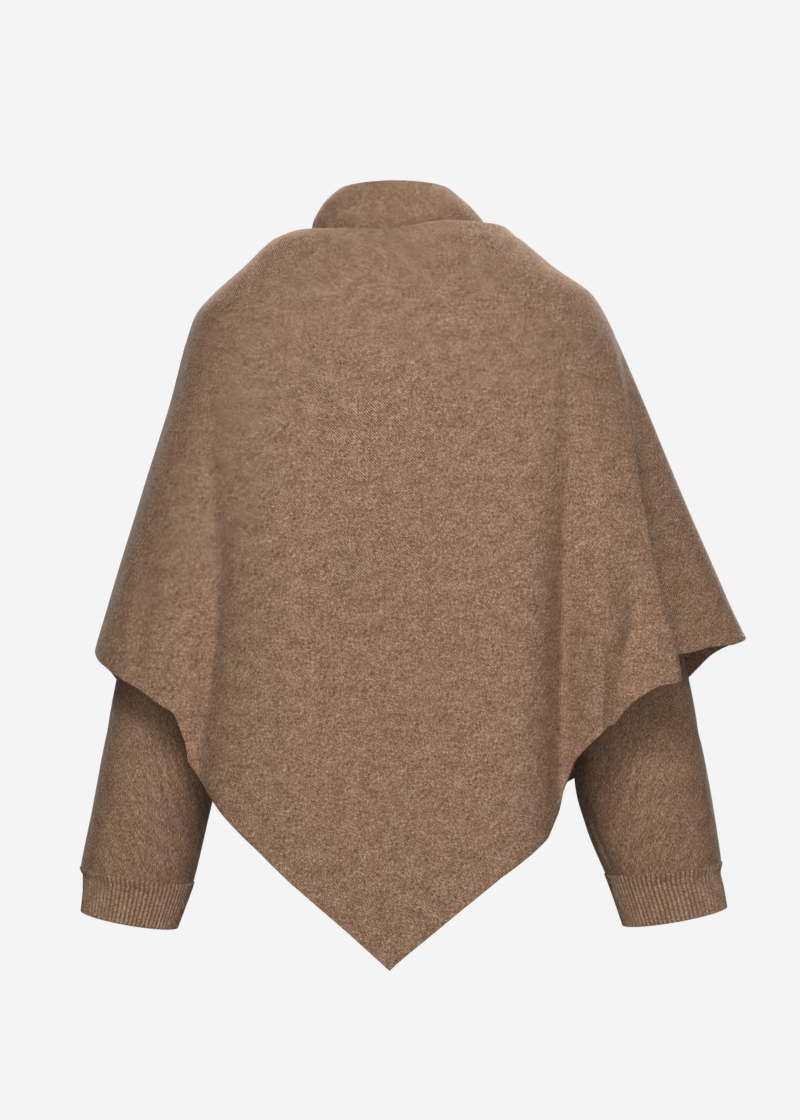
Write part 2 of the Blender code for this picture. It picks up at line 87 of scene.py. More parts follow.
# Cape, from the neck seam down. z is the height at the back. left, right, back and front are
# how far the cloth's outer face reaches from the middle, which lies forward of the neck by
# forward. The lifts raise the ring's left, right and front above its back. The right one is a
# roll that starts and is full at these sines of the turn. From LEVEL_FROM_ROW down the rings
# are level.
CAPE = table("z left right back front forward lift_left lift_right lift_front", [
    (0.0010, 0.0920, 0.0900, 0.0740, 0.0700, 0.000, 0.000, 0.000, -0.004),
    (0.0118, 0.1040, 0.1040, 0.0860, 0.0800, 0.000, 0.005, 0.009, -0.012),
    (0.0060, 0.1260, 0.1200, 0.0980, 0.0920, 0.000, 0.003, 0.003, -0.012),
    (-0.0220, 0.1600, 0.1580, 0.1120, 0.1050, 0.000, 0.000, 0.000, -0.006),
    (-0.0460, 0.1870, 0.1920, 0.1210, 0.1140, 0.000, 0.000, 0.000, 0.000),
    (-0.0660, 0.2040, 0.2050, 0.1270, 0.1190, 0.000, 0.000, 0.000, 0.000),
    (-0.0940, 0.2140, 0.2185, 0.1330, 0.1260, 0.000, 0.000, 0.000, 0.000),
    (-0.1500, 0.2290, 0.2430, 0.1420, 0.1350, 0.002, 0.000, 0.000, 0.000),
    (-0.2500, 0.2610, 0.2850, 0.1520, 0.1420, 0.008, 0.000, 0.000, 0.000),
    (-0.3500, 0.2920, 0.3290, 0.1560, 0.1430, 0.013, 0.000, 0.000, 0.000),
    (-0.4500, 0.3190, 0.3710, 0.1580, 0.1420, 0.018, 0.000, 0.000, 0.000),
    (-0.6000, 0.3400, 0.3900, 0.1580, 0.1380, 0.020, 0.000, 0.000, 0.000),
    (-0.7500, 0.3500, 0.4000, 0.1560, 0.1340, 0.020, 0.000, 0.000, 0.000),
])
ROLL_STARTS = -0.15
ROLL_FULL = 0.50
LEVEL_FROM_ROW = 4

# Hem of the cape: its height at each turn round the figure, in degrees. 0 is the back, 90 the
# right side, 180 the front and 270 the left side. The point of the diamond is at -1.5.
HEM = table("turn z", [
    (-90.0, -0.395), (-78.3, -0.406), (-67.3, -0.416), (-59.7, -0.426), (-51.6, -0.437),
    (-42.5, -0.458), (-39.5, -0.485), (-38.9, -0.504), (-37.2, -0.513), (-29.3, -0.554),
    (-21.5, -0.591), (-14.9, -0.627), (-8.0, -0.666), (-1.5, -0.704), (7.7, -0.646),
    (13.0, -0.614), (19.9, -0.578), (22.1, -0.553), (23.2, -0.530), (24.9, -0.502),
    (27.4, -0.483), (30.0, -0.468), (31.5, -0.445), (33.0, -0.432), (37.0, -0.424),
    (44.0, -0.413), (52.0, -0.4045), (57.0, -0.4012), (62.0, -0.3984), (67.0, -0.3960),
    (77.0, -0.3945), (90.0, -0.3880), (98.0, -0.3900), (104.0, -0.3935), (107.0, -0.3960),
    (110.0, -0.3985), (113.0, -0.4010), (116.0, -0.4045), (119.0, -0.4090), (122.0, -0.4155),
    (125.0, -0.4235), (129.0, -0.4350), (135.0, -0.4560), (140.0, -0.4900),
    (160.0, -0.560), (180.0, -0.620), (200.0, -0.575), (220.0, -0.500), (240.0, -0.445),
    (256.0, -0.410), (270.0, -0.395),
])

# Folds that run down the cape. side is -1 for the back and 1 for the front. A fold starts at
# z_top, is full from z_full down and gone again below z_end, and its line passes x_top, x_mid
# and x_low at z_top, z_mid and z_low. Its width grows from width to width_low on the way. A
# trough has a negative height. round is near 0 for a fold that comes to a crease and near 1 for
# a soft swell.
FOLD_NAMES = "side z_top z_full z_end z_mid z_low x_top x_mid x_low width width_low height round"
FOLDS = table(FOLD_NAMES, [
    (-1, -0.08, -0.46, -2.00, -0.30, -0.56, 0.168, 0.163, 0.160, 0.0130, 0.0215, -0.0380, 0.45),
    (-1, -0.14, -0.44, -2.00, -0.30, -0.50, 0.197, 0.191, 0.188, 0.0140, 0.0170, 0.0130, 0.50),
    (-1, -0.28, -0.40, -2.00, -0.38, -0.46, 0.201, 0.2035, 0.2035, 0.0034, 0.0042, -0.0120, 0.15),
    (-1, -0.10, -0.46, -2.00, -0.30, -0.50, -0.188, -0.184, -0.207, 0.0160, 0.0260, -0.0310, 0.50),
    (-1, -0.22, -0.34, -0.52, -0.34, -0.44, -0.238, -0.250, -0.262, 0.0160, 0.0160, -0.0050, 0.40),
    (-1, -0.24, -0.42, -2.00, -0.34, -0.70, -0.030, -0.046, -0.040, 0.0400, 0.0500, -0.0110, 0.60),
    (-1, -0.16, -0.40, -2.00, -0.32, -0.62, -0.100, -0.105, -0.100, 0.0250, 0.0300, 0.0090, 0.60),
    (-1, -0.16, -0.38, -2.00, -0.36, -0.66, 0.118, 0.128, 0.115, 0.0280, 0.0350, 0.0130, 0.70),
    (-1, -0.05, -0.08, -0.26, -0.10, -0.20, 0.010, 0.045, 0.100, 0.0220, 0.0220, -0.0035, 0.40),
    (-1, -0.03, -0.06, -0.20, -0.08, -0.16, -0.050, -0.085, -0.130, 0.0220, 0.0220, -0.0030, 0.40),
    (-1, -0.02, -0.04, -0.14, -0.06, -0.12, 0.110, 0.135, 0.165, 0.0160, 0.0160, -0.0025, 0.40),
    (1, -0.08, -0.40, -2.00, -0.30, -0.56, 0.165, 0.160, 0.150, 0.0130, 0.0240, -0.0260, 0.20),
    (1, -0.10, -0.40, -2.00, -0.30, -0.56, -0.165, -0.165, -0.160, 0.0130, 0.0240, -0.0240, 0.20),
    (1, -0.12, -0.36, -2.00, -0.32, -0.60, 0.010, 0.012, 0.018, 0.0450, 0.0450, -0.0090, 0.60),
    (1, -0.20, -0.38, -2.00, -0.34, -0.52, 0.090, 0.085, 0.075, 0.0300, 0.0300, 0.0060, 0.60),
    (1, -0.22, -0.40, -2.00, -0.34, -0.52, -0.080, -0.088, -0.085, 0.0300, 0.0300, 0.0060, 0.60),
    (1, -0.22, -0.34, -0.56, -0.34, -0.46, 0.225, 0.235, 0.245, 0.0160, 0.0160, -0.0050, 0.35),
    (1, -0.22, -0.34, -0.56, -0.34, -0.46, -0.215, -0.230, -0.245, 0.0160, 0.0160, -0.0050, 0.35),
    (1, -0.04, -0.07, -0.24, -0.10, -0.18, 0.030, 0.060, 0.110, 0.0240, 0.0240, -0.0035, 0.40),
    (1, -0.03, -0.06, -0.22, -0.09, -0.17, -0.025, -0.070, -0.120, 0.0240, 0.0240, -0.0035, 0.40),
])

# Pleat over the right arm, where the cloth doubles back under itself. turn is its middle, half
# is half the cloth in it, swing moves it along the ring, and depth is how far its last layer
# lies in.
PLEAT = table("z turn half swing depth", [
    (-0.085, 77.5, 0.020, 0.000, 0.000),
    (-0.174, 60.4, 0.034, 0.010, 0.015),
    (-0.310, 46.5, 0.048, 0.032, 0.026),
    (-0.420, 41.2, 0.058, 0.048, 0.030),
    (-0.520, 38.0, 0.060, 0.052, 0.031),
])
# Its front edge starts to sink and has sunk this far before and after the cloth turns back, in
# shares of half its cloth. Its hidden bend reaches PLEAT_BEND to either side, and more where the
# turn lies nearer the pleat's middle than PLEAT_SHARPEST.
PLEAT_LIP_START = 0.17
PLEAT_LIP_END = 0.05
PLEAT_BEND = 0.15
PLEAT_SHARPEST = 0.37
PLEAT_EASE = 1.1
# It fades out from its last turn to the side seam
PLEAT_LAST_TURN = 88.0
SIDE_TURN = 90.0

# Columns of the cape's grids: the turn at each column number. At the back, place counts
# halves of the pleat's cloth from its middle, which the columns follow down the cape, with
# PLEAT_DEGREE metres of cloth to a degree. The hem's height and its columns depend on each
# other, so they are worked out in HEM_PASSES passes.
BACK_COLUMNS = table("column turn place", [
    (0, -90, 0), (84, -1.5, 0), (100, 14, 0), (132, 0, -1), (212, 0, 1), (232, 90, 0),
])
FRONT_COLUMNS = table("column turn place", [(0, 90, 0), (160, 270, 0)])
PLEAT_DEGREE = 0.0046
HEM_PASSES = 12

# Rows of the grids: the first ones lie above row SHOULDER_ROW of the cape's table
SHOULDER_ROW = 6
SHOULDER_ROWS = 60
BACK_ROWS = 126
FRONT_ROWS = 96

# The cloth map counts from the diamond's point. It is measured on this many rows, and on a
# column every TURN_SAMPLE degrees.
HEM_POINT_TURN = -1.5
LENGTH_SAMPLES = 49
TURN_SAMPLE = 0.25

# Collar, from its rim down to the neck seam, to the middle of its cloth. A ring's middle lies
# aside of the neck's by aside. At its sides the rim lies COLLAR_RIM_FALL rows lower.
COLLAR = table("z left right back front aside lift_front", [
    (0.0626, 0.0500, 0.0500, 0.0560, 0.0500, -0.0050, -0.012),
    (0.0590, 0.0560, 0.0540, 0.0580, 0.0520, -0.0045, -0.012),
    (0.0500, 0.0680, 0.0640, 0.0630, 0.0570, -0.0035, -0.011),
    (0.0380, 0.0785, 0.0755, 0.0680, 0.0620, -0.0020, -0.009),
    (0.0240, 0.0860, 0.0840, 0.0700, 0.0655, -0.0005, -0.007),
    (0.0100, 0.0880, 0.0860, 0.0700, 0.0660, 0.0000, -0.005),
    (-0.0020, 0.0880, 0.0860, 0.0700, 0.0660, 0.0000, -0.004),
])
COLLAR_RIM_FALL = 0.9
COLLAR_COLUMNS = 240
COLLAR_ROWS = 44

# Inner body, from the neck seam down to its hem, to the middle of its cloth
BODY = table("z left right back front lift_front", [
    (-0.0023, 0.0880, 0.0860, 0.0700, 0.0660, -0.004),
    (-0.0080, 0.0880, 0.0860, 0.0700, 0.0660, -0.004),
    (-0.0260, 0.1150, 0.1140, 0.0860, 0.0790, -0.003),
    (-0.0400, 0.1430, 0.1430, 0.0970, 0.0890, -0.002),
    (-0.0580, 0.1560, 0.1560, 0.1050, 0.0970, 0.000),
    (-0.0900, 0.1580, 0.1580, 0.1110, 0.1040, 0.000),
    (-0.1500, 0.1570, 0.1570, 0.1160, 0.1100, 0.000),
    (-0.2500, 0.1550, 0.1550, 0.1160, 0.1130, 0.000),
    (-0.3700, 0.1550, 0.1550, 0.1140, 0.1120, 0.000),
    (-0.4900, 0.1580, 0.1580, 0.1150, 0.1130, 0.000),
])
BODY_HEM_Z = -0.4900
BODY_COLUMNS = 110
BODY_TOP_ROWS = 20
ARMHOLE_ROWS = 56
BODY_LOW_ROWS = 60

# Armholes, and how far a sleeve's top edge laps past them and stands off the body, whose slopes
# there are taken over these steps. The sleeve turns from the armhole's form to the arm's over
# its first SLEEVE_LOOP_ROWS rows.
ARMHOLE_MIDDLE_Z = -0.142
ARMHOLE_HALF_HEIGHT = 0.095
ARMHOLE_HALF_TURN = 38.0
SLEEVE_LAP = 0.004
SLEEVE_LAP_TURN = 2.0
SLEEVE_LIFT = 0.0033
SLEEVE_LOOP_ROWS = 2
ARMHOLE_TURN_STEP = 0.2
ARMHOLE_ROW_STEP = 0.02

# Arms, from the armhole down: a sleeve to row SEAM_ROW and its cuff below it. A ring runs from
# its outer point to its inner point in the view of the back, to the cloth's outer face. x is
# measured outwards from the middle of the neck.
ARM_NAMES = "out_x out_z in_x in_z forward half_deep"
ARM_RIGHT = table(ARM_NAMES, [
    (0.1610, -0.0470, 0.1580, -0.2410, 0.000, 0.0770),
    (0.1810, -0.0600, 0.1620, -0.2540, 0.001, 0.0740),
    (0.1970, -0.0900, 0.1650, -0.2680, 0.003, 0.0700),
    (0.2070, -0.1350, 0.1680, -0.2820, 0.006, 0.0660),
    (0.2230, -0.2000, 0.1710, -0.3080, 0.011, 0.0630),
    (0.2490, -0.2900, 0.1730, -0.3650, 0.018, 0.0620),
    (0.2820, -0.3900, 0.1740, -0.4400, 0.026, 0.0610),
    (0.3045, -0.4930, 0.1765, -0.5300, 0.036, 0.0610),
    (0.3175, -0.5600, 0.1885, -0.5800, 0.043, 0.0590),
    (0.3262, -0.6160, 0.2088, -0.6290, 0.050, 0.0560),
    (0.3245, -0.6265, 0.2125, -0.6385, 0.0508, 0.0530),
    (0.3280, -0.6425, 0.2195, -0.6580, 0.0516, 0.0515),
    (0.3315, -0.6625, 0.2275, -0.6815, 0.0526, 0.0510),
])
ARM_LEFT = table(ARM_NAMES, [
    (0.1610, -0.0470, 0.1580, -0.2410, 0.000, 0.0770),
    (0.1810, -0.0600, 0.1620, -0.2540, 0.001, 0.0740),
    (0.1970, -0.0900, 0.1650, -0.2680, 0.003, 0.0700),
    (0.2070, -0.1350, 0.1680, -0.2820, 0.006, 0.0660),
    (0.2220, -0.2000, 0.1710, -0.3080, 0.011, 0.0630),
    (0.2460, -0.2900, 0.1730, -0.3650, 0.018, 0.0610),
    (0.2770, -0.3900, 0.1775, -0.4400, 0.026, 0.0600),
    (0.2985, -0.4930, 0.1855, -0.5300, 0.036, 0.0590),
    (0.3115, -0.5600, 0.1960, -0.5800, 0.043, 0.0580),
    (0.3240, -0.6210, 0.2100, -0.6375, 0.050, 0.0560),
    (0.3210, -0.6300, 0.2140, -0.6490, 0.0508, 0.0530),
    (0.3212, -0.6440, 0.2200, -0.6650, 0.0516, 0.0515),
    (0.3234, -0.6665, 0.2272, -0.6840, 0.0526, 0.0510),
])
SEAM_ROW = 9

# Creases of the sleeves. bend is the place round the arm, 270 at the back, and slant turns the
# crease from level to upright. length is half of how far it runs, and it is full over
# CREASE_FULL of that. ARM_RADIUS turns the bend into metres. The last one of the right sleeve
# is the fold line beside its inner edge.
CREASE_NAMES = "bend z slant length width height"
CREASES_RIGHT = table(CREASE_NAMES, [
    (262, -0.468, 12, 0.050, 0.0080, -0.0022), (292, -0.500, -18, 0.040, 0.0090, -0.0020),
    (275, -0.530, 8, 0.045, 0.0100, 0.0018), (248, -0.600, 74, 0.026, 0.0060, -0.0016),
    (296, -0.592, 82, 0.024, 0.0060, -0.0015), (80, -0.455, 14, 0.055, 0.0090, -0.0032),
    (108, -0.492, -16, 0.045, 0.0080, -0.0028), (66, -0.545, 10, 0.040, 0.0090, -0.0024),
    (120, -0.598, 76, 0.026, 0.0060, -0.0018), (15, -0.480, 10, 0.036, 0.0080, -0.0018),
    (168, -0.470, -12, 0.036, 0.0080, -0.0020), (203, -0.588, 97, 0.042, 0.0034, -0.0034),
])
CREASES_LEFT = table(CREASE_NAMES, [
    (280, -0.476, -14, 0.046, 0.0080, -0.0022), (250, -0.506, 16, 0.042, 0.0090, -0.0020),
    (268, -0.545, -8, 0.050, 0.0110, 0.0018), (290, -0.604, 80, 0.025, 0.0060, -0.0016),
    (240, -0.596, 70, 0.026, 0.0060, -0.0015), (96, -0.460, -12, 0.052, 0.0090, -0.0032),
    (70, -0.500, 18, 0.044, 0.0080, -0.0028), (112, -0.552, -10, 0.042, 0.0090, -0.0024),
    (60, -0.600, 74, 0.026, 0.0060, -0.0018), (20, -0.486, -10, 0.036, 0.0080, -0.0018),
    (165, -0.478, 12, 0.036, 0.0080, -0.0020),
])
CREASE_ROUND = 0.40
CREASE_FULL = 0.30
ARM_RADIUS = 0.055
SLEEVE_COLUMNS = 220
SLEEVE_ROWS = 170

# Cuffs: the columns over one rib, and its width on the cloth map
CUFF_ROWS = 26
POINTS_PER_RIB = 6
RIB_PITCH = 0.0045

# Shells: a tube's first and last columns are joined where they meet, and a cut edge, which
# turns more than EDGE_ANGLE degrees, is rounded by this share of the wall
JOIN_WITHIN = 1e-5
EDGE_SHARE = 0.35
EDGE_SEGMENTS = 2
EDGE_ANGLE = 60.0

# The knit's patterns, counted to a metre of cloth. A patch of felting is about 60 mm across, a
# speck of nap 1.2 mm, a cloud of paler or darker yarn 4 mm, and a drift of shade, hardly to be
# seen, 15 mm. Flecks are short fibres, counted across and along the wales: about 1.1 mm by 3 mm
# on the cape, and 1.6 mm by 1.8 mm where the cloth is felted more.
FELTING_PER_METRE = 16.0
NAP_PER_METRE = 860.0
CLOUDS_PER_METRE = 260.0
DRIFTS_PER_METRE = 70.0
LONG_FLECKS = (900.0, 330.0)
SHORT_FLECKS = (620.0, 560.0)
CLOUD_SHARE = 0.42
DRIFT_SHARE = 0.30
# How much the wales add to the relief, and how high the relief is
WALE_RELIEF = 0.9
NAP_HEIGHT = 0.0012
# The wales' painted shade, and their relief, fade towards the hem and the right, where the light
# brings them out less, between these reaches on the cloth map
WALE_SHADE_FADE_WAY = (0.5, -0.8, 0.0)
WALE_SHADE_FADE_FROM = 0.08
WALE_SHADE_FADE_TO = 0.30
WALE_SHADE_FULLEST = 0.8

# Camera and studio. The camera is level and looks at the back from straight behind it.
CAMERA_PLACE = (0.0, -3.10, -0.31)
CAMERA_LENS = 99.6
CAMERA_SENSOR = 36.0
FLOOR_Z = -1.42
FLOOR_HALF_WIDTH = 12.0
# How bright the paper looks, and how much light the room gives
PAPER_GLOW = 1.01
ROOM_LIGHT = 0.02

# Soft boxes: where each one stands, its size and its power. All are aimed at LIGHT_AIM.
LIGHTS = [
    ("key", (-0.20, -2.51, 1.15), 0.8, 46.0),
    ("key_right", (0.61, -2.44, 1.15), 0.8, 9.0),
    ("front", (0.0, -2.89, -0.05), 1.4, 11.0),
    ("low", (0.0, -2.56, -1.30), 1.4, 13.0),
    ("low_left", (-1.39, -2.23, -1.30), 1.4, 4.0),
    ("low_right", (1.39, -2.23, -1.30), 1.4, 9.0),
    ("left", (-2.71, -0.73, 0.45), 1.4, 3.0),
    ("right", (2.80, 0.75, -0.30), 1.4, 4.0),
    ("right_rim", (0.40, 1.61, 2.08), 1.4, 120.0),
    ("left_rim", (-1.11, 1.92, 1.56), 1.4, 4.0),
    ("far_side", (0.60, 2.70, 0.60), 1.4, 40.0),
]
LIGHT_AIM = (0.0, 0.0, -0.30)


class PonchoSizes(bpy.types.PropertyGroup):
    """Sizes of the knit."""

    wall: bpy.props.FloatProperty(
        name="Cloth thickness", description="Thickness of the felted knit",
        default=0.0024, min=0.001, max=0.003, precision=4, unit="LENGTH")
    wale: bpy.props.FloatProperty(
        name="Wale", description="Width of one wale of the felted knit",
        default=0.0020, min=0.001, max=0.006, precision=4, unit="LENGTH")
    ribs: bpy.props.IntProperty(
        name="Ribs", description="Number of ribs round a cuff", default=72, min=20, max=100)
    rib_height: bpy.props.FloatProperty(
        name="Rib height", description="How far a rib stands out of the cuff",
        default=0.0013, min=0.0, max=0.003, precision=4, unit="LENGTH")


class PonchoColours(bpy.types.PropertyGroup):
    """Colours of the yarn and of the studio."""

    wool: bpy.props.FloatVectorProperty(
        name="Wool", description="Main colour of the melange yarn", subtype="COLOR",
        size=3, min=0.0, max=1.0, default=linear("926F59"))
    pale_fibre: bpy.props.FloatVectorProperty(
        name="Pale fibre", description="Colour of the pale fibres in the yarn",
        subtype="COLOR", size=3, min=0.0, max=1.0, default=linear("CDB096"))
    dark_fibre: bpy.props.FloatVectorProperty(
        name="Dark fibre", description="Colour of the dark fibres in the yarn",
        subtype="COLOR", size=3, min=0.0, max=1.0, default=linear("543C2D"))
    bloom: bpy.props.FloatVectorProperty(
        name="Bloom", description="Colour of the nap where the cloth turns away",
        subtype="COLOR", size=3, min=0.0, max=1.0, default=linear("F3E7DD"))
    paper: bpy.props.FloatVectorProperty(
        name="Paper", description="Colour of the studio's floor and room", subtype="COLOR",
        size=3, min=0.0, max=1.0, default=linear("F3F3F3"))


def smooth(x, xs, ys):
    """Reads a smooth curve through the points (xs, ys) that never overshoots them."""
    step = np.diff(xs)
    slope = np.diff(ys) / step
    product = slope[:-1] * slope[1:]
    total = np.where(product > 0, slope[:-1] + slope[1:], 1.0)
    between = np.where(product > 0, 2 * product / total, 0.0)
    tangent = np.concatenate((slope[:1], between, slope[-1:]))
    i = np.clip(np.searchsorted(xs, x, side="right") - 1, 0, len(xs) - 2)
    t = np.clip((x - xs[i]) / step[i], 0, 1)
    rise = (3 - 2 * t) * t * t
    swell = t * (1 - t) * step[i] * ((1 - t) * tangent[i] - t * tangent[i + 1])
    return ys[i] * (1 - rise) + ys[i + 1] * rise + swell


def by_row(rows, name, down):
    """Reads one column of a table at row number down, which need not be whole."""
    return smooth(down, np.arange(len(rows[name]), dtype=float), rows[name])


def ramp(x, start, end):
    """Rises smoothly from 0 at start to 1 at end."""
    t = np.clip((x - start) / (end - start), 0, 1)
    return t * t * (3 - 2 * t)


def ring(turn, left, right, back, front, square):
    """A ring round the figure, at turn degrees from the back towards the right side."""
    angle = np.radians(turn)
    aside, behind = np.sin(angle), np.cos(angle)
    x = np.where(aside > 0, right, left) * aside * (1 + square * behind**2)
    y = -np.where(behind > 0, back, front) * behind * (1 + square * aside**2)
    return x, y


def unit(vectors):
    """Scales vectors to length 1."""
    return vectors / np.linalg.norm(vectors, axis=-1, keepdims=True)


def cape_ring(turn, down, half_wall):
    """The cape with no folds in it."""
    size = [by_row(CAPE, name, down) - half_wall for name in ("left", "right", "back", "front")]
    square = NECK_SQUARE + (CAPE_SQUARE - NECK_SQUARE) * ramp(down, 0, CAPE_NECK_ROWS)
    x, y = ring(turn, *size, square)
    aside, behind = np.sin(np.radians(turn)), np.cos(np.radians(turn))
    lift_right = by_row(CAPE, "lift_right", down) * ramp(aside, ROLL_STARTS, ROLL_FULL)
    lift_side = np.where(aside > 0, lift_right, by_row(CAPE, "lift_left", down) * aside**2)
    lift_front = np.where(behind < 0, by_row(CAPE, "lift_front", down), 0.0)
    z = by_row(CAPE, "z", down) + lift_side + lift_front * behind**2
    return np.stack((x, y + by_row(CAPE, "forward", down), z), axis=-1)


def fold_height(x, z, side):
    """How far the folds raise the cape at x and z on the back or the front."""
    total = np.zeros_like(x)
    for fold in each_row(FOLDS):
        heights = np.array((fold["z_low"], fold["z_mid"], fold["z_top"]))
        line = smooth(z, heights, np.array((fold["x_low"], fold["x_mid"], fold["x_top"])))
        width = np.interp(z, heights[[0, 2]], np.array((fold["width_low"], fold["width"])))
        aside = (x - line) / width
        bump = np.exp(fold["round"] - np.hypot(aside, fold["round"]))
        faded = ramp(-z, -fold["z_top"], -fold["z_full"]) * (
            1 - ramp(-z, -(fold["z_end"] + fold["z_full"]) / 2, -fold["z_end"]))
        total += np.where(side == fold["side"], fold["height"] * bump, 0) * faded
    return total


def pleat_sizes(z):
    """The pleat's middle, in degrees, and its sizes at height z."""
    heights = PLEAT["z"][::-1]
    return [smooth(z, heights, PLEAT[name][::-1]) for name in ("turn", "half", "swing", "depth")]


def cape_point(turn, down, half_wall):
    """The cape with its folds and its pleat."""
    point = cape_ring(turn, down, half_wall)
    z = point[..., 2]
    before, after = (cape_ring(turn + step, down, half_wall) for step in (-RING_STEP, RING_STEP))
    along = after - before
    along[..., 2] = 0
    degree = np.linalg.norm(along, axis=-1) / (2 * RING_STEP)
    along = unit(along)
    outward = np.stack((along[..., 1], -along[..., 0], np.zeros_like(z)), axis=-1)

    side = np.where(np.cos(np.radians(turn)) >= 0, -1, 1)
    raised = fold_height(point[..., 0], z, side)

    middle, half, swing, depth = pleat_sizes(z)
    place = (turn - middle) * degree / half
    inside = np.clip(place, -1, 1)
    shift = -swing * np.sin(math.pi * inside)
    edge = np.arccos(np.clip(half / np.maximum(math.pi * swing, SMALLEST), 0, 1)) / math.pi
    lip = ramp(place, -edge - PLEAT_LIP_START, -edge + PLEAT_LIP_END)
    bend = PLEAT_BEND + PLEAT_EASE * np.maximum(PLEAT_SHARPEST - edge, 0)
    sunk = depth / 2 * (lip + ramp(place, edge - bend, edge + bend))
    last = middle + half / degree
    sunk = sunk * (1 - ramp(turn, np.minimum(last, PLEAT_LAST_TURN), SIDE_TURN))
    sunk = np.where(side < 0, sunk, 0)
    shift = np.where(side < 0, shift, 0)
    return point + along * shift[..., None] + outward * (raised - sunk)[..., None]


def hem_down(turn):
    """The row number at which the cape's hem lies at each turn."""
    rows = np.linspace(LEVEL_FROM_ROW, len(CAPE["z"]) - 1, LOOKUP_SAMPLES)
    heights = by_row(CAPE, "z", rows)
    return np.interp(-np.interp(turn, HEM["turn"], HEM["z"]), -heights, rows)


def column_turn(columns, z):
    """The turn of every column of the cape at heights z."""
    middle, half, _, _ = pleat_sizes(z)
    place = columns["place"][:, None]
    stops = columns["turn"][:, None] + (place != 0) * middle + place * half / PLEAT_DEGREE
    number = np.arange(int(columns["column"][-1]) + 1)
    return np.array([np.interp(n, columns["column"], stops[:, n]) for n in number])


def cape_points(columns, rows, half_wall):
    """The middle of the cloth of one half of the cape, row by row."""
    count = int(columns["column"][-1]) + 1
    z = np.full(count, HEM["z"].max())
    for _ in range(HEM_PASSES):
        turn = column_turn(columns, z)
        z = by_row(CAPE, "z", hem_down(turn))
    above = np.repeat(np.linspace(0, SHOULDER_ROW, SHOULDER_ROWS)[:, None], count, axis=1)
    share = np.linspace(0, 1, rows + 1)[1:, None]
    below = SHOULDER_ROW + share * (hem_down(turn) - SHOULDER_ROW)[None, :]
    down = np.vstack((above, below))
    turn = np.array([column_turn(columns, by_row(CAPE, "z", row)) for row in down])
    return cape_point(turn, down, half_wall), cape_lengths(turn, down)


def lengths_along(points, axis):
    """How far each point lies along its row or its column from the first one."""
    steps = np.linalg.norm(np.diff(points, axis=axis), axis=-1)
    before = [(1, 0) if number == axis else (0, 0) for number in range(steps.ndim)]
    return np.pad(np.cumsum(steps, axis=axis), before)


def cape_lengths(turn, down):
    """How far each point of the cape lies round from the point of the diamond, and down."""
    turns = np.arange(-SIDE_TURN, 3 * SIDE_TURN + 1, TURN_SAMPLE)
    downs = np.linspace(0, len(CAPE["z"]) - 1, LENGTH_SAMPLES)
    samples = cape_point(*np.meshgrid(turns, downs), 0.0)
    round_it = lengths_along(samples, 1)
    round_it -= np.array([np.interp(HEM_POINT_TURN, turns, line) for line in round_it])[:, None]
    drop = lengths_along(samples[:, np.searchsorted(turns, 0.0)], 0)
    step = downs[1] - downs[0]
    low = np.clip((down / step).astype(int), 0, LENGTH_SAMPLES - 2)
    share = down / step - low
    place = (turn - turns[0]) / TURN_SAMPLE
    left = np.clip(place.astype(int), 0, len(turns) - 2)
    part = place - left
    near = round_it[low, left] * (1 - part) + round_it[low, left + 1] * part
    far = round_it[low + 1, left] * (1 - part) + round_it[low + 1, left + 1] * part
    return np.stack((near * (1 - share) + far * share, -np.interp(down, downs, drop)), axis=-1)


def collar_points():
    """The middle of the cloth of the funnel collar."""
    turn = np.linspace(-180, 180, COLLAR_COLUMNS + 1)
    turn, down = np.meshgrid(turn, np.linspace(0, 1, COLLAR_ROWS))
    start = COLLAR_RIM_FALL * np.sin(np.radians(turn))**2
    down = start + down * (len(COLLAR["z"]) - 1 - start)
    size = [by_row(COLLAR, name, down) for name in ("left", "right", "back", "front")]
    x, y = ring(turn, *size, NECK_SQUARE)
    behind = np.cos(np.radians(turn))
    lift = np.where(behind < 0, by_row(COLLAR, "lift_front", down), 0.0) * behind**2
    z = by_row(COLLAR, "z", down) + lift
    return np.stack((x + by_row(COLLAR, "aside", down), y, z), axis=-1)


def body_point(turn, down):
    """The inner body with its sides whole."""
    size = [by_row(BODY, name, down) for name in ("left", "right", "back", "front")]
    square = NECK_SQUARE + (BODY_SQUARE - NECK_SQUARE) * ramp(down, 0, BODY_NECK_ROWS)
    x, y = ring(turn, *size, square)
    behind = np.cos(np.radians(turn))
    lift = np.where(behind < 0, by_row(BODY, "lift_front", down), 0.0) * behind**2
    return np.stack((x, y, by_row(BODY, "z", down) + lift), axis=-1)


def body_down(z):
    """The row number of the inner body at height z."""
    rows = np.linspace(0, len(BODY["z"]) - 1, LOOKUP_SAMPLES)
    return np.interp(-z, -by_row(BODY, "z", rows), rows)


def body_points(middle):
    """The back of the inner body, round turn 0, or its front, round turn 180."""
    top = ARMHOLE_MIDDLE_Z + ARMHOLE_HALF_HEIGHT
    low = ARMHOLE_MIDDLE_Z - ARMHOLE_HALF_HEIGHT
    bend = np.linspace(0, math.pi, ARMHOLE_ROWS)
    beside = ARMHOLE_MIDDLE_Z + ARMHOLE_HALF_HEIGHT * np.cos(bend)
    heights = np.concatenate((np.linspace(BODY["z"][0], top, BODY_TOP_ROWS)[:-1], beside,
                              np.linspace(low, BODY_HEM_Z, BODY_LOW_ROWS)[1:]))
    reach = np.sqrt(np.clip(1 - ((heights - ARMHOLE_MIDDLE_Z) / ARMHOLE_HALF_HEIGHT) ** 2, 0, 1))
    side = SIDE_TURN - ARMHOLE_HALF_TURN * reach
    turn = middle + side[:, None] * np.linspace(-1, 1, BODY_COLUMNS + 1)[None, :]
    down = np.repeat(body_down(heights)[:, None], turn.shape[1], axis=1)
    return body_point(turn, down)


